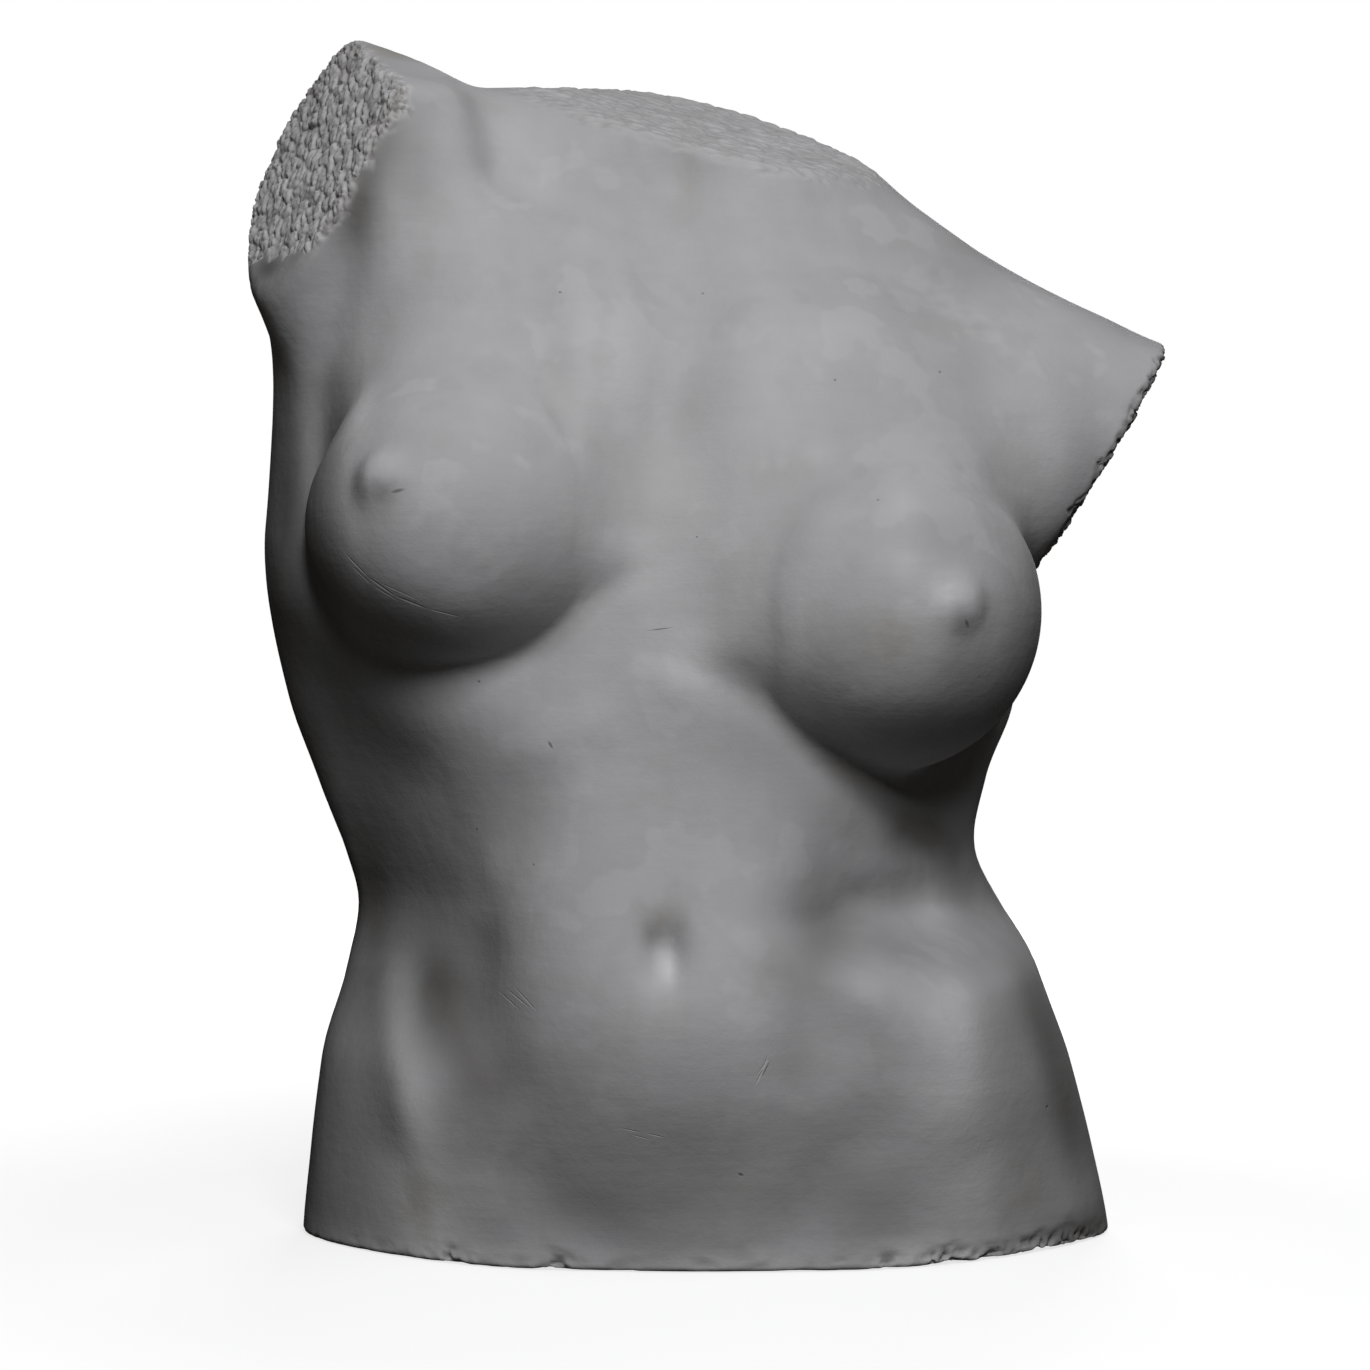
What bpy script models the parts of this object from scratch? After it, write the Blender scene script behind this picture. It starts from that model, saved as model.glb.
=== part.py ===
"""A life-size plaster torso of a woman, without head or arms, cut flat below the hips.

The whole form is one solid. It is described as a field: a function of a point that is negative
inside the plaster and close to the distance in millimetres from its surface. Masses such as the
trunk, the breasts and the shoulders are joined smoothly, low relief is added, and planes cut the
neck, the arms and the base. A mesh is then laid over the surface where the field is zero.

Frame: +Z is up, the front of the torso faces -Y, and +X is the torso's own left side. The origin is
on the underside, below the middle of the extent. The form is described in millimetres at about
its real height and then scaled to HEIGHT, so that it keeps its proportions when HEIGHT changes.
"""

import math

import bmesh
import bpy
import numpy as np

HEIGHT = 0.55  # metres, from the underside to the top of the raised shoulder

TRIANGLES = 9400  # of the finished solid
CELL = 4.0  # grid on which the surface is found
GRID_LOW = (-240.0, -170.0, -12.0)
GRID_HIGH = (245.0, 150.0, 575.0)


# Smooth helpers


def smooth_union(a, b, reach):
    """The nearer of two fields, with a fillet about as wide as reach where they meet."""
    share = np.clip(0.5 + 0.5 * (b - a) / reach, 0.0, 1.0)
    return b + (a - b) * share - reach * share * (1.0 - share)


def smooth_cut(a, b, rounding):
    """What is inside both fields, with its edge rounded."""
    return -smooth_union(-a, -b, rounding)


def step(edge_low, edge_high, value):
    """Rises smoothly from 0 at edge_low to 1 at edge_high."""
    t = np.clip((value - edge_low) / (edge_high - edge_low), 0.0, 1.0)
    return t * t * (3.0 - 2.0 * t)


def flowing(at, knots, values):
    """A smooth curve through the values at the knots, read at the places in at."""
    knots = np.asarray(knots, float)
    values = np.asarray(values, float)
    slopes = np.gradient(values, knots)
    at = np.clip(at, knots[0], knots[-1])
    i = np.clip(np.searchsorted(knots, at) - 1, 0, len(knots) - 2)
    gap = knots[i + 1] - knots[i]
    t = (at - knots[i]) / gap
    rise = values[i + 1] - values[i]
    bend_in = slopes[i] * gap - rise
    bend_out = rise - slopes[i + 1] * gap
    return values[i] + t * rise + t * (1.0 - t) * ((1.0 - t) * bend_in + t * bend_out)


def round_cone(p, start, end, radius_start, radius_end):
    """A rod with round ends whose radius changes from start to end."""
    start, end = np.array(start, float), np.array(end, float)
    along = end - start
    offset = [p[i] - start[i] for i in range(3)]
    t = sum(offset[i] * along[i] for i in range(3)) / (along @ along)
    t = np.clip(t, 0.0, 1.0)
    square = sum((offset[i] - t * along[i]) ** 2 for i in range(3))
    return np.sqrt(square) - (radius_start + (radius_end - radius_start) * t)


def ellipsoid(p, centre, radii):
    x, y, z = (p[i] - centre[i] for i in range(3))
    near = np.sqrt((x / radii[0]) ** 2 + (y / radii[1]) ** 2 + (z / radii[2]) ** 2)
    steep = np.sqrt(
        (x / radii[0] ** 2) ** 2 + (y / radii[1] ** 2) ** 2 + (z / radii[2] ** 2) ** 2
    )
    return near * (near - 1.0) / np.maximum(steep, 1e-9)


def line_relief(x, z, points, width, height):
    """A soft ridge, or a furrow where height is negative, along a line seen from the front.
    It fades out towards both ends of the line."""
    nearest = np.full(x.shape, 1e9)
    along = np.zeros(x.shape)
    last = len(points) - 1
    for number, ((x0, z0), (x1, z1)) in enumerate(zip(points[:-1], points[1:])):
        dx, dz = x1 - x0, z1 - z0
        t = np.clip(((x - x0) * dx + (z - z0) * dz) / (dx * dx + dz * dz), 0.0, 1.0)
        square = (x - x0 - t * dx) ** 2 + (z - z0 - t * dz) ** 2
        along = np.where(square < nearest, (number + t) / last, along)
        nearest = np.minimum(nearest, square)
    fading = step(-0.1, 0.3, along) * step(-0.1, 0.3, 1.0 - along)
    return height * fading * np.exp(-nearest / width**2)


def spot_relief(x, z, centre, radii, height):
    """A soft swelling, or a hollow where height is negative, seen from the front."""
    u, w = (x - centre[0]) / radii[0], (z - centre[1]) / radii[1]
    return height * np.exp(-(u**2) - w**2)


# Cuts: a point on the plane, and the way its normal points
NECK_CUT = ((10, 38, 512), (0.24, -0.34, 0.91))
RAISED_ARM_CUT = ((-183.5, 12, 500), (-0.72, -0.45, 0.40))
LOWERED_ARM_CUT = ((184, 20, 353), (0.857, 0.03, -0.514))
EDGE_ROUNDING = 5.0


def cut_off(p, body, cut):
    """The body without what lies beyond the cut's plane."""
    point, normal = cut
    length = math.sqrt(sum(n * n for n in normal))
    plane = sum((p[i] - point[i]) * normal[i] / length for i in range(3))
    return smooth_cut(body, plane, EDGE_ROUNDING)


# Masses

# Sections of the trunk: height, right side, left side, front, back, how far from the middle the
# bevel of each front corner lies, right then left, and by how many degrees it is turned outward
TRUNK = (
    (-40, -184, 190, -100, 121, 136, 158, 44, 43),
    (0, -184, 188, -108, 121, 136, 158, 44, 43),
    (40, -180, 180, -117, 117, 137, 165, 45, 48),
    (80, -178, 170, -128, 104, 134, 170, 50, 54),
    (115, -182, 163, -129, 88, 117, 159, 54, 60),
    (150, -198, 170, -118, 77, 108, 112, 57, 53),
    (172, -199, 145, -109, 74, 110, 116, 55, 56),
    (207, -194, 150, -100, 80, 113, 118, 48, 57),
    (245, -201, 160, -96, 92, 137, 124, 53, 55),
    (290, -210, 153, -91, 102, 171, 136, 68, 67),
    (340, -198, 149, -78, 112, 171, 145, 68, 68),
    (390, -183, 137, -56, 118, 160, 145, 68, 68),
    (430, -165, 108, -36, 118, 150, 145, 68, 68),
    (470, -125, 76, -14, 108, 150, 145, 68, 68),
    (510, -70, 45, 8, 92, 150, 145, 68, 68),
)
TRUNK_SQUARENESS = 2.3  # 2 would make its sections ellipses
MIDLINE = -16.0
BEVEL_ROUNDING = 28.0
UNDERSIDE_TURN = 68.0  # degrees by which the breasts' undersides are turned down from the front


def trunk(p):
    """Rib cage, waist and hips, as one tube of rounded sections."""
    x, y, z = p
    heights, *sides = np.array(TRUNK, float).T
    right, left, front, back, right_bevel, left_bevel, right_turn, left_turn = (
        flowing(z, heights, side) for side in sides
    )
    half_width, half_depth = (left - right) / 2, (back - front) / 2
    u = np.abs(x - (left + right) / 2) / half_width
    w = np.abs(y - (back + front) / 2) / half_depth
    n = TRUNK_SQUARENESS
    radius = np.maximum((u**n + w**n) ** (1 / n), 0.05)
    slope = np.hypot(
        (u / radius) ** (n - 1) / half_width, (w / radius) ** (n - 1) / half_depth
    )
    side = (radius - 1.0) / np.maximum(slope, 0.5 / half_width)
    bevels = ((MIDLINE - x, right_bevel, right_turn), (x - MIDLINE, left_bevel, left_turn))
    for outward, bevel, turn in bevels:
        turn = np.radians(turn)
        plane = outward * np.sin(turn) - y * np.cos(turn) - bevel
        side = smooth_cut(side, plane, BEVEL_ROUNDING)
    return smooth_cut(side, z - 505.0, 30.0)


def raised_side(p):
    """The shoulder of the raised arm, and the muscles before and behind its armpit."""
    slope = round_cone(p, (-36, 46, 485), (-112, 36, 484), 49, 47)
    arm = round_cone(p, (-155, 6, 486), (-236, -34, 566), 61, 63)
    front = round_cone(p, (-40, -28, 392), (-140, -12, 450), 40, 42)
    back = round_cone(p, (-158, 40, 330), (-173, 22, 462), 38, 30)
    pit = round_cone(p, (-150, 0, 390), (-176, -14, 452), 34, 34)
    whole = smooth_union(smooth_union(slope, arm, 14), front, 22)
    return smooth_union(smooth_union(whole, back, 20), pit, 24)


def lowered_side(p):
    """The shoulder of the lowered arm, and the muscles before and behind its armpit."""
    slope = round_cone(p, (44, 56, 461), (156, 36, 383), 48, 43)
    arm = round_cone(p, (124, 24, 380), (232, 30, 349), 55, 54)
    front = round_cone(p, (36, -30, 368), (128, -10, 366), 42, 42)
    back = round_cone(p, (118, 58, 290), (150, 42, 352), 36, 34)
    pit = round_cone(p, (104, -14, 318), (142, 0, 352), 38, 38)
    whole = smooth_union(smooth_union(slope, arm, 26), front, 22)
    whole = smooth_union(smooth_union(whole, back, 20), pit, 24)
    return cut_off(p, whole, LOWERED_ARM_CUT)


def breast(p, centre, radii, slope_top, crease):
    """A breast: a round form that narrows evenly towards the crease below it, and a slope that
    rises from it to slope_top on the chest. The crease is given as its radius and its depth."""
    x, y, z = p
    bowl = ellipsoid(p, centre, radii)
    steep = math.radians(UNDERSIDE_TURN)
    around = np.hypot(x - centre[0], z - centre[2])
    cone = (around - crease[0]) * math.sin(steep) - (y - crease[1]) * math.cos(steep)
    bowl = smooth_cut(bowl, cone, 22)
    low = (centre[0], centre[1] - 6, centre[2] + 14)
    slope = round_cone(p, low, slope_top, radii[0] - 22, 26)
    return smooth_union(bowl, slope, 30)


def nipple(p, centre, towards, length, radius):
    tip = [c + length * t for c, t in zip(centre, towards)]
    return round_cone(p, centre, tip, radius * 1.6, radius)


def torso_field(p):
    """The finished form, with its cuts but without the base's."""
    x, y, z = p
    neck = round_cone(p, (2, 50, 430), (10, 40, 590), 60, 54)
    body = smooth_union(trunk(p), neck, 34)
    body = smooth_union(body, raised_side(p), 30)
    body = smooth_union(body, lowered_side(p), 30)
    fold = 6 + 32 * step(330, 400, z)
    right = breast(p, (-105, -64, 319), (73, 80, 67), (-96, -20, 425), (69, -84))
    body = smooth_union(body, right, fold)
    fold = 6 + 32 * step(285, 360, z) + 38 * step(10, 60, 70 - x) * step(240, 272, z)
    left = breast(p, (79, -64, 281), (72, 80, 70), (62, -24, 390), (72, -86))
    body = smooth_union(body, left, fold)
    body = smooth_union(body, nipple(p, (-131, -124, 336), (-0.4, -0.9, 0.15), 7, 7), 13)
    body = smooth_union(body, nipple(p, (104, -128, 284), (0.35, -0.93, 0.1), 7, 7), 13)
    body = body - front_relief(x, y, z) - back_relief(x, y, z)
    return cut_off(p, cut_off(p, body, NECK_CUT), RAISED_ARM_CUT)


def front_relief(x, y, z):
    front = 1.0 - step(-30, 20, y)
    height = spot_relief(x, z, (-10, 484), (13, 15), -6)
    height += line_relief(x, z, [(-150, 468), (-160, 440), (-170, 395), (-174, 340)], 10, -4)
    height += line_relief(x, z, [(-10, 470), (-14, 400), (-17, 330)], 16, -3)
    height += line_relief(x, z, [(-145, 175), (-105, 205), (-60, 235), (-18, 262)], 16, 3)
    height += line_relief(x, z, [(-18, 262), (25, 235), (65, 205), (98, 180)], 16, 3)
    height += line_relief(x, z, [(-18, 255), (-18, 150)], 12, -2.5)
    height += line_relief(x, z, [(-98, 150), (-94, 115), (-84, 88), (-64, 50)], 17, -5)
    height += line_relief(x, z, [(68, 196), (57, 165), (52, 130), (47, 102), (36, 72)], 17, -7)
    height += spot_relief(x, z, (-12, 108), (50, 48), 7)
    height += line_relief(x, z, [(-148, 130), (-138, 102), (-131, 75), (-125, 45)], 14, 4)
    height += spot_relief(x, z, (-138, 405), (20, 48), 3)
    height += spot_relief(x, z, (68, 122), (14, 16), 4)
    height += spot_relief(x, z, (112, 105), (26, 62), 7)
    height += line_relief(x, z, [(-100, 60), (-60, 25), (-25, 5)], 16, -3.5)
    height += line_relief(x, z, [(82, 80), (50, 35), (25, 5)], 16, -3.5)
    height += spot_relief(x, z, (-16.5, 139), (9, 13), -11)
    return front * height


def back_relief(x, y, z):
    back = step(10, 50, y)
    height = line_relief(x, z, [(2, 490), (-8, 380), (-20, 280), (-18, 180), (0, 50)], 17, -9)
    cleft = 1.0 - step(10, 85, z)
    height += -22 * cleft * np.exp(-(((x - 3) / (11 + 0.1 * z)) ** 2))
    height += spot_relief(x, z, (-72, 30), (62, 60), 10)
    height += spot_relief(x, z, (78, 22), (62, 60), 10)
    height += spot_relief(x, z, (-12, 104), (26, 22), 4)
    height += line_relief(x, z, [(-52, 425), (-76, 360), (-112, 318), (-150, 312)], 20, 8)
    height += line_relief(x, z, [(52, 395), (66, 330), (96, 296), (130, 300)], 20, 8)
    return back * height


# Surface


def grid_field(field, low, high, cell):
    """The field's values on a regular grid, and the grid's three axes."""
    axes = [np.arange(low[i], high[i] + cell, cell) for i in range(3)]
    return field(np.meshgrid(*axes, indexing="ij")), axes


CORNERS = [(i, j, k) for i in (0, 1) for j in (0, 1) for k in (0, 1)]
EDGES = [
    (a, b)
    for a in range(8)
    for b in range(a + 1, 8)
    if sum(abs(CORNERS[a][i] - CORNERS[b][i]) for i in range(3)) == 1
]


def net_over(values, axes, cell):
    """A net of quads over the surface where the values change sign: a vertex in each crossed cell."""
    inside = values < 0
    far = [size - 1 for size in inside.shape]
    count = sum(
        inside[i : far[0] + i, j : far[1] + j, k : far[2] + k].astype(np.int8)
        for i, j, k in CORNERS
    )
    cells = np.argwhere((count > 0) & (count < 8))
    corner_values = np.stack([values[tuple((cells + c).T)] for c in CORNERS], axis=1)
    total = np.zeros((len(cells), 3))
    crossings = np.zeros(len(cells))
    for a, b in EDGES:
        va, vb = corner_values[:, a], corner_values[:, b]
        crossed = (va < 0) != (vb < 0)
        t = np.where(crossed, va / np.where(crossed, va - vb, 1.0), 0.0)[:, None]
        place = np.array(CORNERS[a]) * (1 - t) + np.array(CORNERS[b]) * t
        total += place * crossed[:, None]
        crossings += crossed
    origin = np.array([axis[0] for axis in axes])
    points = origin + cell * (cells + total / crossings[:, None])
    number = np.full(count.shape, -1, np.int64)
    number[tuple(cells.T)] = np.arange(len(cells))
    quads = []
    for axis in range(3):
        across, up = (axis + 1) % 3, (axis + 2) % 3
        before = np.take(inside, range(inside.shape[axis] - 1), axis=axis)
        after = np.take(inside, range(1, inside.shape[axis]), axis=axis)
        for outward in (True, False):
            changed = np.argwhere((before & ~after) if outward else (~before & after))
            limits = np.array(inside.shape) - 1
            changed = changed[(changed[:, across] > 0) & (changed[:, up] > 0)]
            changed = changed[(changed[:, across] < limits[across]) & (changed[:, up] < limits[up])]
            ring = []
            for shift_across, shift_up in ((0, 0), (-1, 0), (-1, -1), (0, -1)):
                shifted = changed.copy()
                shifted[:, across] += shift_across
                shifted[:, up] += shift_up
                ring.append(number[tuple(shifted.T)])
            ring = np.stack(ring, axis=1)
            quads.append(ring if outward else ring[:, ::-1])
    return points, np.concatenate(quads)


def gradient(field, points, spacing=0.5):
    """The direction in which the field rises at each point, and how fast."""
    rises = []
    for axis in range(3):
        shift = np.zeros(3)
        shift[axis] = spacing
        ahead, behind = field(list((points + shift).T)), field(list((points - shift).T))
        rises.append((ahead - behind) / (2 * spacing))
    return np.stack(rises, axis=1)


def drawn_to_surface(field, points, rounds=3):
    """The points, moved along the field's slope until they lie on its surface."""
    for _ in range(rounds):
        slope = gradient(field, points)
        square = np.maximum((slope**2).sum(axis=1), 0.05)
        points = points - slope * (field(list(points.T)) / square)[:, None]
    return points


def surface(field, cell):
    values, axes = grid_field(field, GRID_LOW, GRID_HIGH, cell)
    points, quads = net_over(values, axes, cell)
    return drawn_to_surface(field, points), quads


# The finished object


def clear_scene():
    for thing in list(bpy.data.objects):
        bpy.data.objects.remove(thing)


def plaster_material():
    material = bpy.data.materials.new("plaster")
    material.use_nodes = True
    shader = material.node_tree.nodes["Principled BSDF"]
    shader.inputs["Base Color"].default_value = (0.42, 0.42, 0.43, 1.0)
    shader.inputs["Roughness"].default_value = 0.8
    return material


def cut_base(mesh):
    """Takes away what is below the underside's plane and closes the underside with one face."""
    work = bmesh.new()
    work.from_mesh(mesh)
    everything = work.verts[:] + work.edges[:] + work.faces[:]
    bmesh.ops.bisect_plane(
        work, geom=everything, plane_co=(0, 0, 0), plane_no=(0, 0, -1), clear_outer=True
    )
    bmesh.ops.remove_doubles(work, verts=work.verts[:], dist=0.3)
    rim = [edge for edge in work.edges if edge.is_boundary]
    bmesh.ops.contextual_create(work, geom=rim)
    bmesh.ops.triangulate(work, faces=work.faces[:])
    bmesh.ops.recalc_face_normals(work, faces=work.faces[:])
    work.to_mesh(mesh)
    work.free()


def simplified(thing, triangles):
    """The object's mesh, reduced to about so many triangles where the form is plainest."""
    reduce = thing.modifiers.new("reduce", "DECIMATE")
    reduce.ratio = triangles / len(thing.data.polygons)
    evaluated = thing.evaluated_get(bpy.context.evaluated_depsgraph_get())
    mesh = bpy.data.meshes.new_from_object(evaluated)
    thing.modifiers.clear()
    thing.data = mesh


def set_on_origin(mesh):
    """Scales the form to its real height, its underside at z = 0 and its middle over the origin."""
    points = np.empty(len(mesh.vertices) * 3)
    mesh.vertices.foreach_get("co", points)
    points = points.reshape(-1, 3)
    low, high = points.min(axis=0), points.max(axis=0)
    points -= (low + high) / 2 * (1, 1, 0)
    points[:, 2] = np.where(points[:, 2] < 0.01, 0.0, points[:, 2])
    points *= HEIGHT / high[2]
    mesh.vertices.foreach_set("co", points.ravel())
    mesh.update()


def build():
    clear_scene()
    points, quads = surface(torso_field, CELL)
    mesh = bpy.data.meshes.new("torso")
    mesh.from_pydata(points.tolist(), [], quads.tolist())
    cut_base(mesh)
    torso = bpy.data.objects.new("torso", mesh)
    bpy.context.collection.objects.link(torso)
    simplified(torso, TRIANGLES)
    set_on_origin(torso.data)
    torso.data.materials.clear()
    torso.data.materials.append(plaster_material())
    torso.data.polygons.foreach_set("use_smooth", [True] * len(torso.data.polygons))


build()
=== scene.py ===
"""A weathered plaster torso of a woman, standing on a pale floor in soft light from above.

The solid gives the place and the size. Here its form is laid out again on a finer mesh, from the same
description but for a slightly softer inner side of the right breast. Added to it is the relief that
only a close look shows: tool marks on the broken faces and chips along the lower edge. The plaster is
one procedural material with scratches and nicks, which reads from the mesh where dirt, dust and broken
faces are, and where shade and light are painted into its colour: painted shade in creases, pits,
furrows and on the flanks, and painted light on the hip ridges and other rises.

Frame: +Z is up, the front of the torso faces -Y, and +X is the torso's own left side. The form is
described in millimetres and then fitted to the solid's box, which is in metres.
"""

import itertools
import math

import bmesh
import bpy
import numpy as np
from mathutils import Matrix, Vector


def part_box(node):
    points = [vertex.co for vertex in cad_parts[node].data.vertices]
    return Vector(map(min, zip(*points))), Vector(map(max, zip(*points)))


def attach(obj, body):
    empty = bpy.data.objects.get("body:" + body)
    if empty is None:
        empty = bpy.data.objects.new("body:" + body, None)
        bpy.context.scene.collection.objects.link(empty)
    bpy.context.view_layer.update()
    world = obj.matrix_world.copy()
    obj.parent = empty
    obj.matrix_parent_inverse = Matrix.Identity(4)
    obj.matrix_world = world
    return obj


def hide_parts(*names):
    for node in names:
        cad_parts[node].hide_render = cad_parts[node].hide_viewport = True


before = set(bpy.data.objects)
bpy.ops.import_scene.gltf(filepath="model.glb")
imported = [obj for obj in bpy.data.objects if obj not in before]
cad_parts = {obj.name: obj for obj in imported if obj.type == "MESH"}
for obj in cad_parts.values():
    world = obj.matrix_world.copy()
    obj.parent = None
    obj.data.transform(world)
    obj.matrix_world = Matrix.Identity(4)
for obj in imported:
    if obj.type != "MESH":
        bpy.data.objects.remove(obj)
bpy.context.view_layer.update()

CELL = 4.3  # grid on which the surface is found, in millimetres
GRID_LOW = (-240.0, -170.0, -12.0)
GRID_HIGH = (245.0, 150.0, 575.0)


# Smooth helpers


def smooth_union(a, b, reach):
    """The nearer of two fields, with a fillet about as wide as reach where they meet."""
    share = np.clip(0.5 + 0.5 * (b - a) / reach, 0.0, 1.0)
    return b + (a - b) * share - reach * share * (1.0 - share)


def smooth_cut(a, b, rounding):
    """What is inside both fields, with its edge rounded."""
    return -smooth_union(-a, -b, rounding)


def step(edge_low, edge_high, value):
    """Rises smoothly from 0 at edge_low to 1 at edge_high."""
    t = np.clip((value - edge_low) / (edge_high - edge_low), 0.0, 1.0)
    return t * t * (3.0 - 2.0 * t)


def flowing(at, knots, values):
    """A smooth curve through the values at the knots, read at the places in at."""
    knots = np.asarray(knots, float)
    values = np.asarray(values, float)
    slopes = np.gradient(values, knots)
    at = np.clip(at, knots[0], knots[-1])
    i = np.clip(np.searchsorted(knots, at) - 1, 0, len(knots) - 2)
    gap = knots[i + 1] - knots[i]
    t = (at - knots[i]) / gap
    rise = values[i + 1] - values[i]
    bend_in = slopes[i] * gap - rise
    bend_out = rise - slopes[i + 1] * gap
    return values[i] + t * rise + t * (1.0 - t) * ((1.0 - t) * bend_in + t * bend_out)


def round_cone(p, start, end, radius_start, radius_end):
    """A rod with round ends whose radius changes from start to end."""
    start, end = np.array(start, float), np.array(end, float)
    along = end - start
    offset = [p[i] - start[i] for i in range(3)]
    t = sum(offset[i] * along[i] for i in range(3)) / (along @ along)
    t = np.clip(t, 0.0, 1.0)
    square = sum((offset[i] - t * along[i]) ** 2 for i in range(3))
    return np.sqrt(square) - (radius_start + (radius_end - radius_start) * t)


def ellipsoid(p, centre, radii):
    """About how far the points lie outside an ellipsoid."""
    x, y, z = (p[i] - centre[i] for i in range(3))
    near = np.sqrt((x / radii[0]) ** 2 + (y / radii[1]) ** 2 + (z / radii[2]) ** 2)
    steep = np.sqrt(
        (x / radii[0] ** 2) ** 2 + (y / radii[1] ** 2) ** 2 + (z / radii[2] ** 2) ** 2
    )
    return near * (near - 1.0) / np.maximum(steep, 1e-9)


def line_relief(x, z, points, width, height):
    """A soft ridge, or a furrow where height is negative, along a line seen from the front.
    It fades out towards both ends of the line."""
    nearest = np.full(x.shape, 1e9)
    along = np.zeros(x.shape)
    last = len(points) - 1
    for number, ((x0, z0), (x1, z1)) in enumerate(zip(points[:-1], points[1:])):
        dx, dz = x1 - x0, z1 - z0
        t = np.clip(((x - x0) * dx + (z - z0) * dz) / (dx * dx + dz * dz), 0.0, 1.0)
        square = (x - x0 - t * dx) ** 2 + (z - z0 - t * dz) ** 2
        along = np.where(square < nearest, (number + t) / last, along)
        nearest = np.minimum(nearest, square)
    fading = step(-0.1, 0.3, along) * step(-0.1, 0.3, 1.0 - along)
    return height * fading * np.exp(-nearest / width**2)


def spot_relief(x, z, centre, radii, height):
    """A soft swelling, or a hollow where height is negative, seen from the front."""
    u, w = (x - centre[0]) / radii[0], (z - centre[1]) / radii[1]
    return height * np.exp(-(u**2) - w**2)


# Cuts: a point on the plane, and the way its normal points
NECK_CUT = ((10, 38, 512), (0.24, -0.34, 0.91))
RAISED_ARM_CUT = ((-183.5, 12, 500), (-0.72, -0.45, 0.40))
LOWERED_ARM_CUT = ((184, 20, 353), (0.857, 0.03, -0.514))
EDGE_ROUNDING = 5.0


def cut_off(p, body, cut):
    """The body without what lies beyond the cut's plane."""
    point, normal = cut
    length = math.sqrt(sum(n * n for n in normal))
    plane = sum((p[i] - point[i]) * normal[i] / length for i in range(3))
    return smooth_cut(body, plane, EDGE_ROUNDING)


# Masses

# Sections of the trunk: height, right side, left side, front, back, how far from the middle the
# bevel of each front corner lies, right then left, and by how many degrees it is turned outward
TRUNK = (
    (-40, -184, 190, -100, 121, 136, 158, 44, 43),
    (0, -184, 188, -108, 121, 136, 158, 44, 43),
    (40, -180, 180, -117, 117, 137, 165, 45, 48),
    (80, -178, 170, -128, 104, 134, 170, 50, 54),
    (115, -182, 163, -129, 88, 117, 159, 54, 60),
    (150, -198, 170, -118, 77, 108, 112, 57, 53),
    (172, -199, 145, -109, 74, 110, 116, 55, 56),
    (207, -194, 150, -100, 80, 113, 118, 48, 57),
    (245, -201, 160, -96, 92, 137, 124, 53, 55),
    (290, -210, 153, -91, 102, 171, 136, 68, 67),
    (340, -198, 149, -78, 112, 171, 145, 68, 68),
    (390, -183, 137, -56, 118, 160, 145, 68, 68),
    (430, -165, 108, -36, 118, 150, 145, 68, 68),
    (470, -125, 76, -14, 108, 150, 145, 68, 68),
    (510, -70, 45, 8, 92, 150, 145, 68, 68),
)
TRUNK_SQUARENESS = 2.3  # 2 would make its sections ellipses
MIDLINE = -16.0
BEVEL_ROUNDING = 28.0
TRUNK_TOP = 505.0
TRUNK_TOP_ROUNDING = 30.0
UNDERSIDE_TURN = 68.0  # degrees by which the breasts' undersides are turned down from the front


def trunk(p):
    """Rib cage, waist and hips, as one tube of rounded sections."""
    x, y, z = p
    heights, *sides = np.array(TRUNK, float).T
    right, left, front, back, right_bevel, left_bevel, right_turn, left_turn = (
        flowing(z, heights, side) for side in sides
    )
    half_width, half_depth = (left - right) / 2, (back - front) / 2
    u = np.abs(x - (left + right) / 2) / half_width
    w = np.abs(y - (back + front) / 2) / half_depth
    n = TRUNK_SQUARENESS
    radius = np.maximum((u**n + w**n) ** (1 / n), 0.05)
    slope = np.hypot(
        (u / radius) ** (n - 1) / half_width, (w / radius) ** (n - 1) / half_depth
    )
    side = (radius - 1.0) / np.maximum(slope, 0.5 / half_width)
    bevels = ((MIDLINE - x, right_bevel, right_turn), (x - MIDLINE, left_bevel, left_turn))
    for outward, bevel, turn in bevels:
        turn = np.radians(turn)
        plane = outward * np.sin(turn) - y * np.cos(turn) - bevel
        side = smooth_cut(side, plane, BEVEL_ROUNDING)
    return smooth_cut(side, z - TRUNK_TOP, TRUNK_TOP_ROUNDING)


def raised_side(p):
    """The shoulder of the raised arm, and the muscles before and behind its armpit."""
    slope = round_cone(p, (-36, 46, 485), (-112, 36, 484), 49, 47)
    arm = round_cone(p, (-155, 6, 486), (-236, -34, 566), 61, 63)
    front = round_cone(p, (-40, -28, 392), (-140, -12, 450), 40, 42)
    back = round_cone(p, (-158, 40, 330), (-173, 22, 462), 38, 30)
    pit = round_cone(p, (-150, 0, 390), (-176, -14, 452), 34, 34)
    whole = smooth_union(smooth_union(slope, arm, 14), front, 22)
    return smooth_union(smooth_union(whole, back, 20), pit, 24)


def lowered_side(p):
    """The shoulder of the lowered arm, and the muscles before and behind its armpit."""
    slope = round_cone(p, (44, 56, 461), (156, 36, 383), 48, 43)
    arm = round_cone(p, (124, 24, 380), (232, 30, 349), 55, 54)
    front = round_cone(p, (36, -30, 368), (128, -10, 366), 42, 42)
    back = round_cone(p, (118, 58, 290), (150, 42, 352), 36, 34)
    pit = round_cone(p, (104, -14, 318), (142, 0, 352), 38, 38)
    whole = smooth_union(smooth_union(slope, arm, 26), front, 22)
    whole = smooth_union(smooth_union(whole, back, 20), pit, 24)
    return cut_off(p, whole, LOWERED_ARM_CUT)


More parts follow.
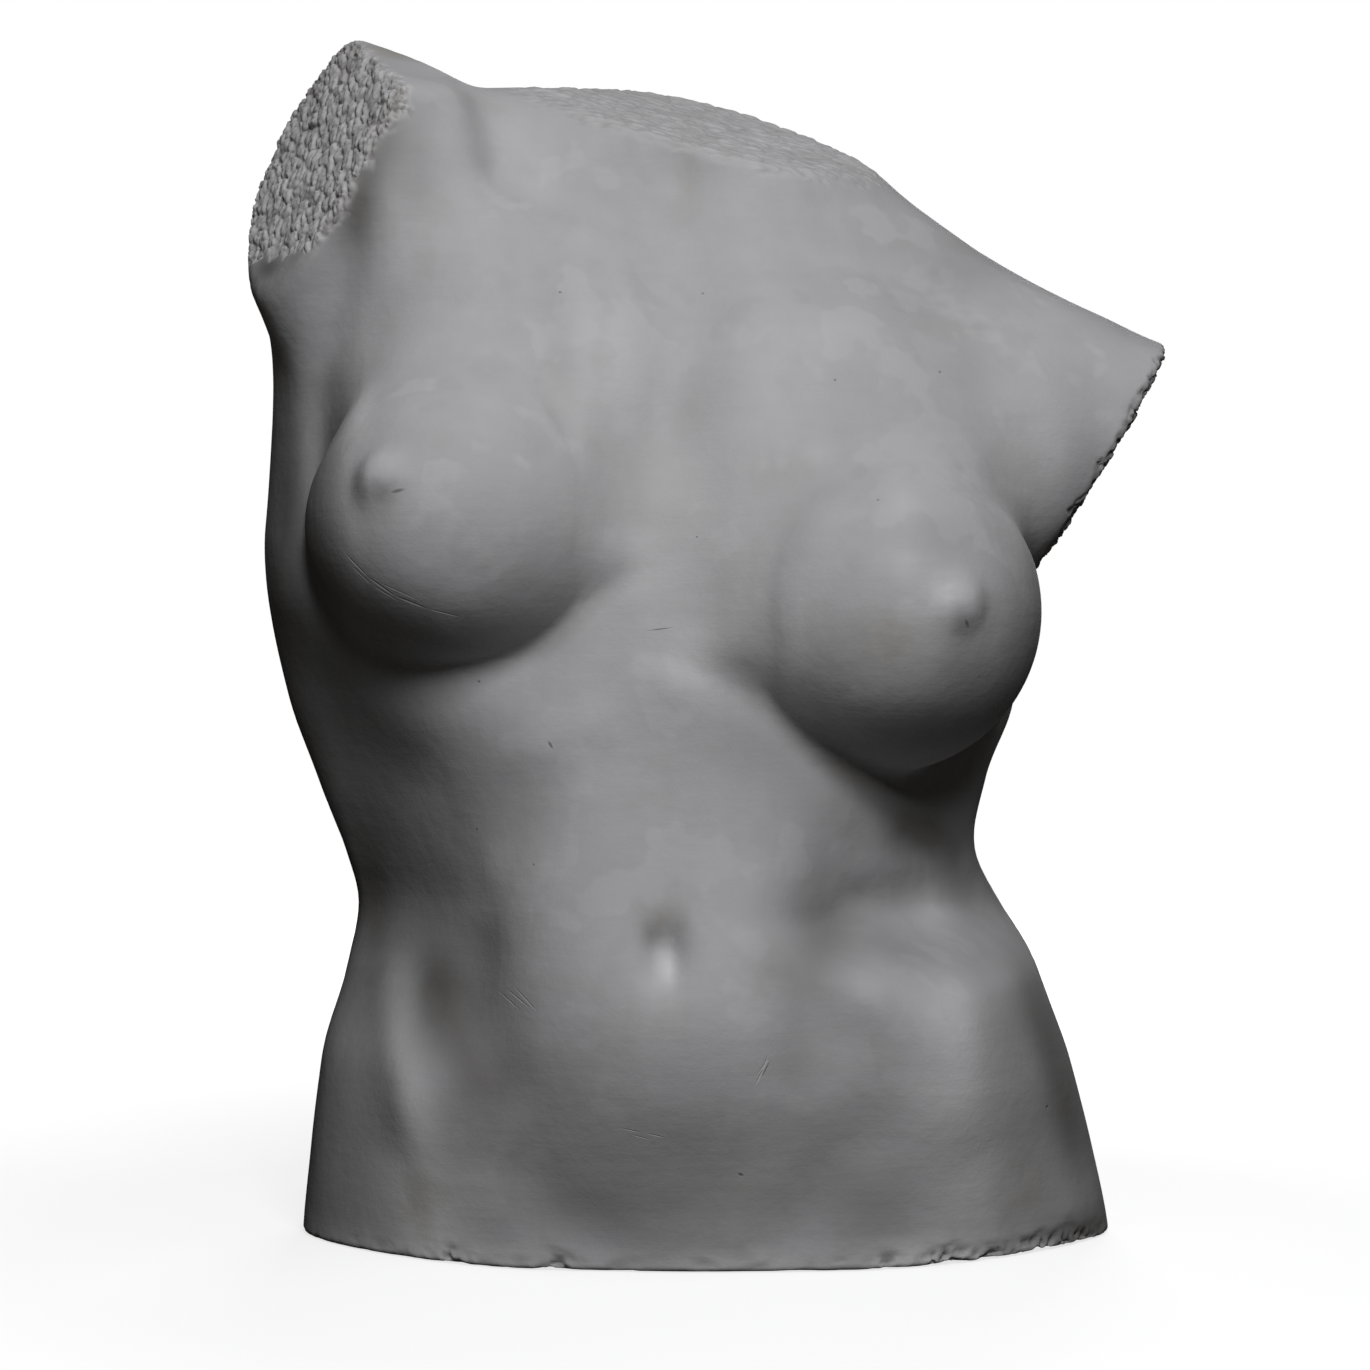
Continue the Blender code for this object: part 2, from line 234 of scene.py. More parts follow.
def breast(p, centre, radii, slope_top, crease):
    """A breast: a round form that narrows evenly towards the crease below it, and a slope that
    rises from it to slope_top on the chest. The crease is given as its radius and its depth."""
    x, y, z = p
    bowl = ellipsoid(p, centre, radii)
    steep = math.radians(UNDERSIDE_TURN)
    around = np.hypot(x - centre[0], z - centre[2])
    cone = (around - crease[0]) * math.sin(steep) - (y - crease[1]) * math.cos(steep)
    bowl = smooth_cut(bowl, cone, 22)
    low = (centre[0], centre[1] - 6, centre[2] + 14)
    slope = round_cone(p, low, slope_top, radii[0] - 22, 26)
    return smooth_union(bowl, slope, 30)


def nipple(p, centre, towards, length, radius):
    """A short rod that narrows from the breast to its round end."""
    tip = [c + length * t for c, t in zip(centre, towards)]
    return round_cone(p, centre, tip, radius * 1.6, radius)


def torso_field(p):
    """The finished form, with its cuts but without the base's."""
    x, y, z = p
    neck = round_cone(p, (2, 50, 430), (10, 40, 590), 60, 54)
    body = smooth_union(trunk(p), neck, 34)
    body = smooth_union(body, raised_side(p), 30)
    body = smooth_union(body, lowered_side(p), 30)
    fold = 6 + 32 * step(330, 400, z) + 26 * step(-72, -50, x) * step(282, 312, z)
    right = breast(p, (-105, -64, 319), (73, 80, 67), (-96, -20, 425), (69, -84))
    body = smooth_union(body, right, fold)
    fold = 6 + 32 * step(285, 360, z) + 38 * step(10, 60, 70 - x) * step(240, 272, z)
    left = breast(p, (79, -64, 281), (72, 80, 70), (62, -24, 390), (72, -86))
    body = smooth_union(body, left, fold)
    body = smooth_union(body, nipple(p, (-131, -124, 336), (-0.4, -0.9, 0.15), 7, 7), 13)
    body = smooth_union(body, nipple(p, (104, -128, 284), (0.35, -0.93, 0.1), 7, 7), 13)
    body = body - front_relief(x, y, z) - back_relief(x, y, z)
    return cut_off(p, cut_off(p, body, NECK_CUT), RAISED_ARM_CUT)


def front_relief(x, y, z):
    """Collarbones' notch, breastbone, rib edge, navel, belly and groins, as swellings of the front."""
    front = 1.0 - step(-30, 20, y)
    height = spot_relief(x, z, (-10, 484), (13, 15), -6)
    height += line_relief(x, z, [(-150, 468), (-160, 440), (-170, 395), (-174, 340)], 10, -4)
    height += line_relief(x, z, [(-10, 470), (-14, 400), (-17, 330)], 16, -3)
    height += line_relief(x, z, [(-145, 175), (-105, 205), (-60, 235), (-18, 262)], 16, 3)
    height += line_relief(x, z, [(-18, 262), (25, 235), (65, 205), (98, 180)], 16, 3)
    height += line_relief(x, z, [(-18, 255), (-18, 150)], 12, -2.5)
    height += line_relief(x, z, [(-98, 150), (-94, 115), (-84, 88), (-64, 50)], 17, -5)
    height += line_relief(x, z, [(68, 196), (57, 165), (52, 130), (47, 102), (36, 72)], 17, -7)
    height += spot_relief(x, z, (-12, 108), (50, 48), 7)
    height += line_relief(x, z, [(-148, 130), (-138, 102), (-131, 75), (-125, 45)], 14, 4)
    height += spot_relief(x, z, (-138, 405), (20, 48), 3)
    height += spot_relief(x, z, (68, 122), (14, 16), 4)
    height += spot_relief(x, z, (112, 105), (26, 62), 7)
    height += line_relief(x, z, [(-100, 60), (-60, 25), (-25, 5)], 16, -3.5)
    height += line_relief(x, z, [(82, 80), (50, 35), (25, 5)], 16, -3.5)
    height += spot_relief(x, z, (-16.5, 139), (9, 13), -11)
    return front * height


def back_relief(x, y, z):
    """Spine, cleft, buttocks and shoulder blades, as swellings of the back."""
    back = step(10, 50, y)
    height = line_relief(x, z, [(2, 490), (-8, 380), (-20, 280), (-18, 180), (0, 50)], 17, -9)
    cleft = 1.0 - step(10, 85, z)
    height += -22 * cleft * np.exp(-(((x - 3) / (11 + 0.1 * z)) ** 2))
    height += spot_relief(x, z, (-72, 30), (62, 60), 10)
    height += spot_relief(x, z, (78, 22), (62, 60), 10)
    height += spot_relief(x, z, (-12, 104), (26, 22), 4)
    height += line_relief(x, z, [(-52, 425), (-76, 360), (-112, 318), (-150, 312)], 20, 8)
    height += line_relief(x, z, [(52, 395), (66, 330), (96, 296), (130, 300)], 20, 8)
    return back * height


# Surface


def grid_field(field, low, high, cell):
    """The field's values on a regular grid, and the grid's three axes."""
    axes = [np.arange(low[i], high[i] + cell, cell) for i in range(3)]
    return field(np.meshgrid(*axes, indexing="ij")), axes


CORNERS = [(i, j, k) for i in (0, 1) for j in (0, 1) for k in (0, 1)]
EDGES = [
    (a, b)
    for a in range(8)
    for b in range(a + 1, 8)
    if sum(abs(CORNERS[a][i] - CORNERS[b][i]) for i in range(3)) == 1
]


def net_over(values, axes, cell):
    """A net of quads over the surface where the values change sign: a vertex in each crossed cell."""
    inside = values < 0
    far = [size - 1 for size in inside.shape]
    count = sum(
        inside[i : far[0] + i, j : far[1] + j, k : far[2] + k].astype(np.int8)
        for i, j, k in CORNERS
    )
    cells = np.argwhere((count > 0) & (count < 8))
    corner_values = np.stack([values[tuple((cells + c).T)] for c in CORNERS], axis=1)
    total = np.zeros((len(cells), 3))
    crossings = np.zeros(len(cells))
    for a, b in EDGES:
        va, vb = corner_values[:, a], corner_values[:, b]
        crossed = (va < 0) != (vb < 0)
        t = np.where(crossed, va / np.where(crossed, va - vb, 1.0), 0.0)[:, None]
        place = np.array(CORNERS[a]) * (1 - t) + np.array(CORNERS[b]) * t
        total += place * crossed[:, None]
        crossings += crossed
    origin = np.array([axis[0] for axis in axes])
    points = origin + cell * (cells + total / crossings[:, None])
    number = np.full(count.shape, -1, np.int64)
    number[tuple(cells.T)] = np.arange(len(cells))
    quads = []
    for axis in range(3):
        across, up = (axis + 1) % 3, (axis + 2) % 3
        before = np.take(inside, range(inside.shape[axis] - 1), axis=axis)
        after = np.take(inside, range(1, inside.shape[axis]), axis=axis)
        for outward in (True, False):
            changed = np.argwhere((before & ~after) if outward else (~before & after))
            limits = np.array(inside.shape) - 1
            changed = changed[(changed[:, across] > 0) & (changed[:, up] > 0)]
            changed = changed[(changed[:, across] < limits[across]) & (changed[:, up] < limits[up])]
            ring = []
            for shift_across, shift_up in ((0, 0), (-1, 0), (-1, -1), (0, -1)):
                shifted = changed.copy()
                shifted[:, across] += shift_across
                shifted[:, up] += shift_up
                ring.append(number[tuple(shifted.T)])
            ring = np.stack(ring, axis=1)
            quads.append(ring if outward else ring[:, ::-1])
    return points, np.concatenate(quads)


def gradient(field, points, spacing=0.5):
    """The direction in which the field rises at each point, and how fast."""
    rises = []
    for axis in range(3):
        shift = np.zeros(3)
        shift[axis] = spacing
        ahead, behind = field(list((points + shift).T)), field(list((points - shift).T))
        rises.append((ahead - behind) / (2 * spacing))
    return np.stack(rises, axis=1)


def drawn_to_surface(field, points, rounds=3):
    """The points, moved along the field's slope until they lie on its surface."""
    for _ in range(rounds):
        slope = gradient(field, points)
        square = np.maximum((slope**2).sum(axis=1), 0.05)
        points = points - slope * (field(list(points.T)) / square)[:, None]
    return points


def surface(field, cell):
    """The field's surface as points and quads."""
    values, axes = grid_field(field, GRID_LOW, GRID_HIGH, cell)
    points, quads = net_over(values, axes, cell)
    return drawn_to_surface(field, points), quads


# Random relief

DIRECTIONS = np.random.default_rng(11).normal(size=(256, 3))
DIRECTIONS /= np.linalg.norm(DIRECTIONS, axis=1)[:, None]
SHUFFLED = np.random.default_rng(12).permutation(256)
NOISE_GAIN = 1.7  # brings the noise to about -1 to 1
LUMP_SWIRL = 0.35  # how much the rows of lumps bend, as a share of a lump's size
LUMP_SCATTER = 0.42  # how far each lump lies from its place in the row, likewise
GROOVE_WIDTH = 0.34  # likewise


def noise(points, sizes, seed=0):
    """Smooth random values, about -1 to 1, whose swells are as long as sizes along each axis."""
    at = points / np.array(sizes, float) + seed * 17.31
    low = np.floor(at).astype(int)
    part = at - low
    fade = part**3 * (part * (part * 6.0 - 15.0) + 10.0)
    total = np.zeros(len(points))
    for corner in CORNERS:
        i, j, k = (low + corner).T & 255
        number = SHUFFLED[(SHUFFLED[(SHUFFLED[i] + j) & 255] + k) & 255]
        value = (DIRECTIONS[number] * (part - corner)).sum(axis=1)
        total += value * np.prod(np.where(np.array(corner) == 1, fade, 1.0 - fade), axis=1)
    return np.clip(total * NOISE_GAIN, -1.0, 1.0)


def turned(points, along, normal):
    """The points in the axes of a cut: across the tool marks, along them, and out of the face."""
    out = np.array(normal, float) / np.linalg.norm(normal)
    along = np.array(along, float)
    along -= out * (along @ out)
    along /= np.linalg.norm(along)
    return points @ np.stack([np.cross(along, out), along, out], axis=1)


def lumps(points, sizes, seed):
    """Rounded lumps of uneven height with narrow grooves between them, from about -1.5 to 0.5."""
    swirl = np.stack([noise(points, [1.6 * s for s in sizes], seed + 5 + i) for i in range(3)], axis=1)
    at = points / np.array(sizes, float) + swirl * LUMP_SWIRL + seed * 7.13
    low = np.floor(at).astype(int)
    nearest = np.full(len(points), 9.0)
    second = nearest.copy()
    level = np.zeros(len(points))
    for shift in itertools.product((-1, 0, 1), repeat=3):
        cell = low + shift
        i, j, k = cell.T & 255
        number = SHUFFLED[(SHUFFLED[(SHUFFLED[i] + j) & 255] + k) & 255]
        far = np.linalg.norm(at - (cell + 0.5 + LUMP_SCATTER * DIRECTIONS[number]), axis=1)
        closer = far < nearest
        second = np.where(closer, nearest, np.minimum(second, far))
        level = np.where(closer, SHUFFLED[(number + 7) & 255] / 255.0, level)
        nearest = np.minimum(nearest, far)
    groove = 1.0 - np.clip((second - nearest) / GROOVE_WIDTH, 0.0, 1.0)
    return level - 0.5 - groove**2 - 0.3 * nearest**2


def roughened(mask, points, sizes, seed):
    """The lumps where the mask is above 0, as strong as the mask."""
    height = np.zeros(len(mask))
    some = mask > 0.0
    height[some] = mask[some] * lumps(points[some], sizes, seed)
    return height


# Fine relief

BASE_ROUNDING = 2.0
RIM_WIDTH = 12.0  # of the rougher border on the stump of the raised arm
CHIPS = (  # places along the lower edge where it is most eaten away: x, half width, depth
    (-108, 5, 2.0),
    (-62, 7, 2.4),
    (80, 6, 1.6),
    (106, 8, 3.0),
    (127, 6, 2.4),
    (150, 12, 3.4),
    (169, 8, 2.6),
)
SWELLS = (  # soft ridges and furrows on the front: places as x and z, width, height
    (((-121, 134), (-99, 98), (-80, 62)), 13, -2.5),
    (((-138, 114), (-127, 72), (-115, 24)), 12, 2.5),
    (((110, 152), (110, 95), (107, 36)), 15, 2.0),
)
FINEST = 8.0  # how far round the raised arm's face the mesh is finest
FINE = 6.0  # how far round the other two faces it is finer
FINE_RIM = (0.5, 10.0)  # the heights between which it is finer along the lower edge


def standing_field(p):
    """The form with its flat underside."""
    return smooth_cut(torso_field(p), -p[2], BASE_ROUNDING)


def beyond(points, cut):
    """How far the points lie outside a cut's plane."""
    point, normal = cut
    return (points - np.array(point, float)) @ (np.array(normal, float) / np.linalg.norm(normal))


def near_cuts(points):
    """For each cut, 1 on its face and 0 away from it, with an uneven border."""
    wander = noise(points, (9, 9, 9), seed=3) * 3.0 + noise(points, (3, 3, 3), seed=4) * 1.6
    x, y, z = points.T
    wander -= spot_relief(x, z, (-131, 508), (10, 17), 4.5)
    wander += 6.0 * (1.0 - step(440, 450, z)) * (x < -60)
    cuts = {
        "raised": (RAISED_ARM_CUT, (z > 380) & (x < -60)),
        "neck": (NECK_CUT, (z > 450) & (x > -90)),
        "lowered": (LOWERED_ARM_CUT, (x > 100) & (z > 296) & (y > -45)),
    }
    masks = {}
    for name, (cut, reach) in cuts.items():
        depth = -beyond(points, cut)
        masks[name] = (1.0 - step(1.0, 4.5, depth + wander)) * (depth > -9.0) * reach
    return masks


def near_rim(points, cut, width):
    """On the face of a cut, 1 at its rim and 0 further in than width."""
    out = np.array(cut[1], float) / np.linalg.norm(cut[1])
    return step(-0.9 * width, -0.15 * width, torso_field(list((points - out * width).T)))


def fine_relief(points, masks, rim):
    """How far the surface stands in or out of the smooth form."""
    x, y, z = points.T
    height = np.zeros(len(points))
    for line, width, swell in SWELLS:
        height += line_relief(x, z, line, width, swell) * (1.0 - step(-45, 0, y))
    marks = turned(points, (0.0, -0.89, -1.0), RAISED_ARM_CUT[1])
    plain = step(-0.5, 0.6, noise(points, (26, 26, 26), seed=22)) * (1.0 - rim)
    stump = masks["raised"]
    height += roughened(stump * (1.5 - 0.5 * rim - 0.5 * plain), marks, (6.5, 9.5, 8), seed=1)
    height += roughened(stump * (0.5 + 0.8 * rim), marks, (3.4, 4.2, 3.8), seed=31)
    height += stump * (
        0.9 * noise(marks, (16, 24, 16), seed=21) + 0.3 * noise(points, (2.4, 2.4, 2.4), seed=32)
    )
    flakes = turned(points, (1.0, 0.0, -0.2), NECK_CUT[1])
    height += roughened(masks["neck"] * 0.75, flakes, (4.5, 11, 5), seed=41)
    height += masks["neck"] * 0.6 * noise(flakes, (3, 6, 3), seed=51)
    broken_arm = turned(points, (0.3, 0.5, 0.8), LOWERED_ARM_CUT[1])
    height += roughened(masks["lowered"] * 1.5, broken_arm, (6.5, 9, 7), seed=61)
    height += roughened(masks["lowered"] * 0.8, broken_arm, (3.0, 3.6, 3.2), seed=71)
    low = (1.0 - step(1.5, 8.0, z)) * step(-0.5, 1.0, z)
    worn = sum(depth * np.exp(-(((x - place) / half) ** 2)) for place, half, depth in CHIPS) * (y < 0)
    height -= low * worn * step(-0.1, 0.4, noise(points, (4.5, 4.5, 4), seed=81))
    height -= low * 0.9 * np.maximum(noise(points, (9, 9, 6), seed=82), 0.0)
    height -= 0.25 * worn * (1.0 - step(7.0, 10.0, z + 3.0 * noise(points, (10, 10, 8), seed=83)))
    return height


# Form on a fine mesh


def refined(points, quads):
    """The net as a mesh, with smaller faces at the broken faces and along the lower edge."""
    mesh = bpy.data.meshes.new("plaster_torso")
    mesh.from_pydata(points.tolist(), [], quads.tolist())
    work = bmesh.new()
    work.from_mesh(mesh)
    middles = np.array([face.calc_center_median() for face in work.faces])
    x, y, z = middles.T
    finest = (np.abs(beyond(middles, RAISED_ARM_CUT)) < FINEST) & (z > 436) & (x < -60)
    fine = (np.abs(beyond(middles, NECK_CUT)) < FINE) & (z > 450) & (x > -90)
    fine |= (np.abs(beyond(middles, LOWERED_ARM_CUT)) < FINE) & (x > 100) & (z > 290) & (y > -50)
    fine |= (z > FINE_RIM[0]) & (z < FINE_RIM[1])
    thrice, twice = (
        {edge for face, wanted in zip(work.faces, chosen) if wanted for edge in face.edges}
        for chosen in (finest, fine)
    )
    bmesh.ops.subdivide_edges(work, edges=list(thrice), cuts=3, use_grid_fill=True)
    bmesh.ops.subdivide_edges(work, edges=list(twice - thrice), cuts=2, use_grid_fill=True)
    bmesh.ops.triangulate(work, faces=work.faces[:])
    work.to_mesh(mesh)
    work.free()
    return mesh


def mesh_points(mesh):
    """The places of the mesh's vertices, one to a row."""
    points = np.empty(len(mesh.vertices) * 3)
    mesh.vertices.foreach_get("co", points)
    return points.reshape(-1, 3)


def keep_value(mesh, name, values):
    """Stores one number for each vertex, which the material reads by its name."""
    layer = mesh.attributes.new(name, "FLOAT", "POINT")
    layer.data.foreach_set("value", np.asarray(values, np.float32))


points, quads = surface(standing_field, CELL)
mesh = refined(points, quads)
smooth = drawn_to_surface(standing_field, mesh_points(mesh), 2)
outward = gradient(standing_field, smooth)
outward /= np.linalg.norm(outward, axis=1)[:, None]
masks = near_cuts(smooth)
rim = near_rim(smooth, RAISED_ARM_CUT, RIM_WIDTH) * masks["raised"]
relief = fine_relief(smooth, masks, rim)
finished = smooth + outward * relief[:, None]

node_low, node_high = (np.array(corner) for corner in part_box("torso"))
form_low, form_high = smooth.min(axis=0), smooth.max(axis=0)
scale = (node_high[2] - node_low[2]) / (form_high[2] - form_low[2])
form_middle = (form_low + form_high) / 2 * (1, 1, 0) + (0, 0, form_low[2])
node_middle = (node_low + node_high) / 2 * (1, 1, 0) + (0, 0, node_low[2])


def placed(points):
    """Points of the form, in millimetres, as they lie in the row's frame, in metres."""
    return (np.asarray(points, float) - form_middle) * scale + node_middle


mesh.vertices.foreach_set("co", np.clip(placed(finished), node_low, node_high).ravel())
mesh.polygons.foreach_set("use_smooth", [True] * len(mesh.polygons))
mesh.update()

# Where dirt, dust and broken faces are, and where shade and light are painted


def openness(points, outward, reach):
    """1 where nothing is near, less the deeper a point lies in a crease."""
    return np.clip(standing_field(list((points + outward * reach).T)) / reach, 0.0, 1.0)


def toned(points, spots, lines):
    """How strongly soft spots and lines on the front colour each point. A spot is x, z, half width,
    half height and strength, and a line is its places as x and z, its width and its strength."""
    x, y, z = points.T
    total = np.zeros(len(points))
    for px, pz, wide, high, strength in spots:
        total += spot_relief(x, z, (px, pz), (wide, high), strength)
    for line, width, strength in lines:
        total += line_relief(x, z, line, width, strength)
    return np.clip(total * (1.0 - step(20, 60, y)), 0.0, 0.9)


# Dark spots and lines on the front. Some are stains. Many are painted shade: in the furrows by the hips,
# under the breasts and nipples, in the navel, along the flanks and in the chips of the lower edge.
DIRT_AND_SHADE_SPOTS = (
    (-150, 455, 9, 26, 0.55),
    (-130, 480, 14, 24, 0.35),
    (-197, 440, 8, 7, 0.7),
    (-188, 335, 9, 30, 0.5),
    (-121, 108, 9, 24, 0.42),
    (58, 150, 12, 14, 0.3),
    (170, 7, 22, 8, 0.6),
    (-152, 150, 14, 48, 0.75),
    (88, 184, 13, 8, 0.35),
    (-21, 145, 5, 5, 0.5),
    (107, 260, 14, 12, 0.4),
    (95, 232, 32, 15, 0.4),
    (50, 131, 12, 22, 0.45),
    (44, 84, 15, 22, 0.32),
    (30, 134, 15, 14, 0.3),
    (-72, 189, 22, 13, 0.25),
    (-16, 165, 50, 20, 0.18),
    (-52, 98, 12, 22, 0.2),
    (118, 444, 26, 20, 0.36),
    (120, 392, 16, 20, 0.2),
    (78, 358, 36, 46, 0.16),
    (101, 314, 18, 14, 0.22),
    (-69, 27, 22, 10, 0.25),
    (66, 32, 20, 17, 0.42),
    (-20, 34, 30, 8, 0.2),
    (-133, 332, 7, 3.5, 0.6),
    (108, 278, 4, 6, 0.4),
)
DIRT_AND_SHADE_LINES = (
    (((-126, 138), (-108, 98), (-84, 58)), 13, 0.65),
    (((42, 233), (67, 207), (91, 191), (124, 180)), 8, 0.65),
    (((92, 184), (108, 176), (122, 172)), 9, 0.5),
    (((-205, 338), (-190, 262), (-168, 196)), 8, 0.15),
    (((-132, 512), (-152, 468), (-166, 436)), 9, 0.45),
    (((138, 142), (156, 88), (172, 22)), 10, 0.62),
)
# Pale spots and lines on the front. Some are pale patches of the plaster. Many are painted light: on the
# hip ridges, the inner side of the right breast, the navel's lower wall, the chips of the lower edge and
# other rises.
PALE_SPOTS = (
    (-152, 405, 12, 26, 0.4),
    (-152, 383, 9, 14, 0.3),
    (0, 322, 30, 58, 0.27),
    (34, 280, 13, 22, 0.4),
    (-4, 262, 17, 13, 0.45),
    (-28, 306, 13, 12, 0.25),
    (-120, 22, 22, 20, 0.45),
    (98, 66, 16, 22, 0.25),
    (88, 5, 24, 9, 0.6),
    (8, 3, 22, 6, 0.4),
    (-95, 4, 26, 8, 0.3),
    (-44, 380, 22, 22, 0.22),
    (-52, 316, 12, 34, 0.3),
    (-149, 325, 8, 42, 0.4),
    (-149, 372, 7, 14, 0.3),
    (-126, 45, 10, 24, 0.35),
    (106, 152, 14, 16, 0.32),
    (36, 262, 10, 10, 0.25),
    (150, 322, 8, 14, 0.3),
    (-46, 236, 14, 10, 0.2),
    (-15, 131, 4, 7, 0.5),
    (-119, 240, 20, 12, 0.28),
    (-97, 258, 24, 6, 0.3),
    (-95, 162, 13, 17, 0.62),
    (-82, 132, 9, 16, 0.35),
    (-18, 85, 44, 34, 0.12),
    (52, 160, 12, 7, 0.3),
    (58, 56, 24, 20, 0.2),
    (155, 343, 12, 28, 0.32),
    (138, 326, 9, 20, 0.3),
    (-199, 402, 9, 22, 1.1),
    (-206, 320, 5, 46, 0.4),
    (-72, 477, 20, 18, 0.12),
    (-105, 495, 16, 16, 0.2),
    (85, 327, 6, 8, 0.14),
    (85, 303, 7, 6, 0.12),
    (50, 350, 7, 5, 0.14),
    (101, 287, 6, 5, 0.3),
)
PALE_LINES = (
    (((-146, 122), (-134, 66), (-118, 10), (-106, -34)), 15, 0.5),
    (((114, 126), (120, 88), (118, 48), (108, 0)), 18, 0.55),
)
WARM_SPOTS = (
    (-142, 546, 12, 9, 0.8),
    (80, 268, 14, 13, 0.75),
    (-122, 26, 18, 20, 0.5),
    (140, 30, 14, 24, 0.5),
    (0, 45, 60, 30, 0.3),
    # Painted shade in the notch below the neck.
    (-6, 482, 5, 16, 0.4),
    (-120, 455, 12, 16, 0.25),
    (-60, 445, 26, 18, 0.12),
    (-90, 190, 30, 20, 0.2),
    # Painted shade at the upper rim of the navel.
    (-16, 152, 10, 6, 0.4),
)
LOW_RIM_PALE = 0.25
# Strength of the painted shade on the flanks.
SIDE_SHADE = 0.35
BROKEN_ARM_DIRT = 0.3
CREASE_REACH = 12.0  # how far from a point the other side of a crease still darkens it
PIT_DEPTH = 2.0  # at which a pit is at its darkest

broken = np.clip(masks["raised"] + 0.35 * masks["neck"] + 0.25 * masks["lowered"], 0.0, 1.0)
facing_sideways = np.abs(outward[:, 0])
# Stains, and painted shade where these spots and lines fall.
dirt_and_shade = toned(smooth, DIRT_AND_SHADE_SPOTS, DIRT_AND_SHADE_LINES)
# Painted shade on the flanks: the more a point faces sideways, away from the light, the darker it is.
dirt_and_shade += SIDE_SHADE * step(0.6, 0.98, facing_sideways) * (1.0 - broken)
dirt_and_shade += BROKEN_ARM_DIRT * masks["lowered"]
# Dust and pale patches, and painted light where these spots and lines fall; paler near the lower edge.
dust_and_light = toned(smooth, PALE_SPOTS, PALE_LINES) + LOW_RIM_PALE * (1.0 - step(2.0, 16.0, smooth[:, 2]))
# Painted shade in the sunk parts of the relief: the deeper a point lies, the darker it is, most at the
# stump's rim.
pit_shade = np.clip(-relief / PIT_DEPTH, 0.0, 1.0) * (0.45 + 0.55 * rim)
keep_value(mesh, "broken", broken)
# Painted shade: the crease value darkens points deep in a crease, where shade falls.
keep_value(mesh, "crease", 1.0 - openness(smooth, outward, CREASE_REACH))
keep_value(mesh, "pit_shade", pit_shade)
keep_value(mesh, "dirt_and_shade", dirt_and_shade)
keep_value(mesh, "dust_and_light", dust_and_light)
keep_value(mesh, "warm", toned(smooth, WARM_SPOTS, ()))

torso = bpy.data.objects.new("plaster_torso", mesh)
bpy.context.scene.collection.objects.link(torso)
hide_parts("torso")
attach(torso, "root")

# Plaster


class Nodes:
    """Adds and links a material's nodes in few words."""

    def __init__(self, name):
        self.material = bpy.data.materials.new(name)
        self.material.use_nodes = True
        self.tree = self.material.node_tree
        self.shader = self.tree.nodes["Principled BSDF"]

    def add(self, kind, **inputs):
        node = self.tree.nodes.new("ShaderNode" + kind)
        for name, value in inputs.items():
            self.give(node, name.replace("_", " "), value)
        return node

    def give(self, node, name, value):
        socket = node.inputs[int(name) if name.isdigit() else name]
        if isinstance(value, bpy.types.NodeSocket):
            self.tree.links.new(value, socket)
        else:
            socket.default_value = value

    def math(self, operation, *values):
        node = self.add("Math")
        node.operation = operation
        for number, value in enumerate(values):
            self.give(node, str(number), value)
        return node.outputs[0]

    def mix(self, share, first, second, blend="MIX"):
        node = self.add("MixRGB")
        node.blend_type = blend
        for name, value in (("Fac", share), ("Color1", first), ("Color2", second)):
            self.give(node, name, value)
        return node.outputs[0]

    def spread(self, value, low, high, to_low=0.0, to_high=1.0):
        """The value, taken from low..high to to_low..to_high, and held there."""
        node = self.add("MapRange")
        for name, number in (
            ("Value", value),
            ("From Min", low),
            ("From Max", high),
            ("To Min", to_low),
            ("To Max", to_high),
        ):
            self.give(node, name, number)
        return node.outputs[0]

    def stored(self, name):
        """A number that the mesh keeps for each vertex."""
        node = self.add("Attribute")
        node.attribute_name = name
        return node.outputs["Fac"]

    def cloud(self, place, scale, detail=4.0, rough=0.5, stretch=(1.0, 1.0, 1.0)):
        """Random values of 0 to 1, with so many swells to the metre, stretched along the axes."""
        mapping = self.add("Mapping", Vector=place, Scale=stretch)
        node = self.add(
            "TexNoise", Vector=mapping.outputs[0], Scale=scale, Detail=detail, Roughness=rough
        )
        return node.outputs[0]


# Fine marks on the front: the x and z of both ends, and half the width
SCRATCHES = (
    ((-151.6, 306.6), (-141.3, 296.3), 0.45),
    ((-141.3, 296.3), (-129.7, 288.2), 0.5),
    ((-129.7, 288.2), (-115.7, 282.7), 0.5),
    ((-115.7, 282.7), (-102.4, 279.4), 0.4),
    ((-148.6, 301.1), (-139.7, 292.9), 0.35),
    ((-136.2, 293.8), (-118.0, 285.6), 0.3),
    ((-139.7, 292.9), (-127.7, 285.7), 0.35),
    ((-87.4, 118.2), (-78.0, 112.0), 0.35),
    ((-84.7, 120.3), (-73.5, 113.4), 0.35),
    ((-80.9, 121.6), (-69.9, 112.0), 0.35),
    ((27.3, 95.2), (25.0, 88.8), 0.5),
    ((25.2, 89.4), (22.2, 82.7), 0.5),
    ((28.1, 94.4), (22.6, 86.9), 0.4),
    ((-35.0, 64.0), (-26.1, 62.1), 0.3),
    ((-24.0, 61.8), (-16.0, 59.9), 0.3),
    ((-30.5, 61.2), (-21.0, 58.6), 0.25),
)
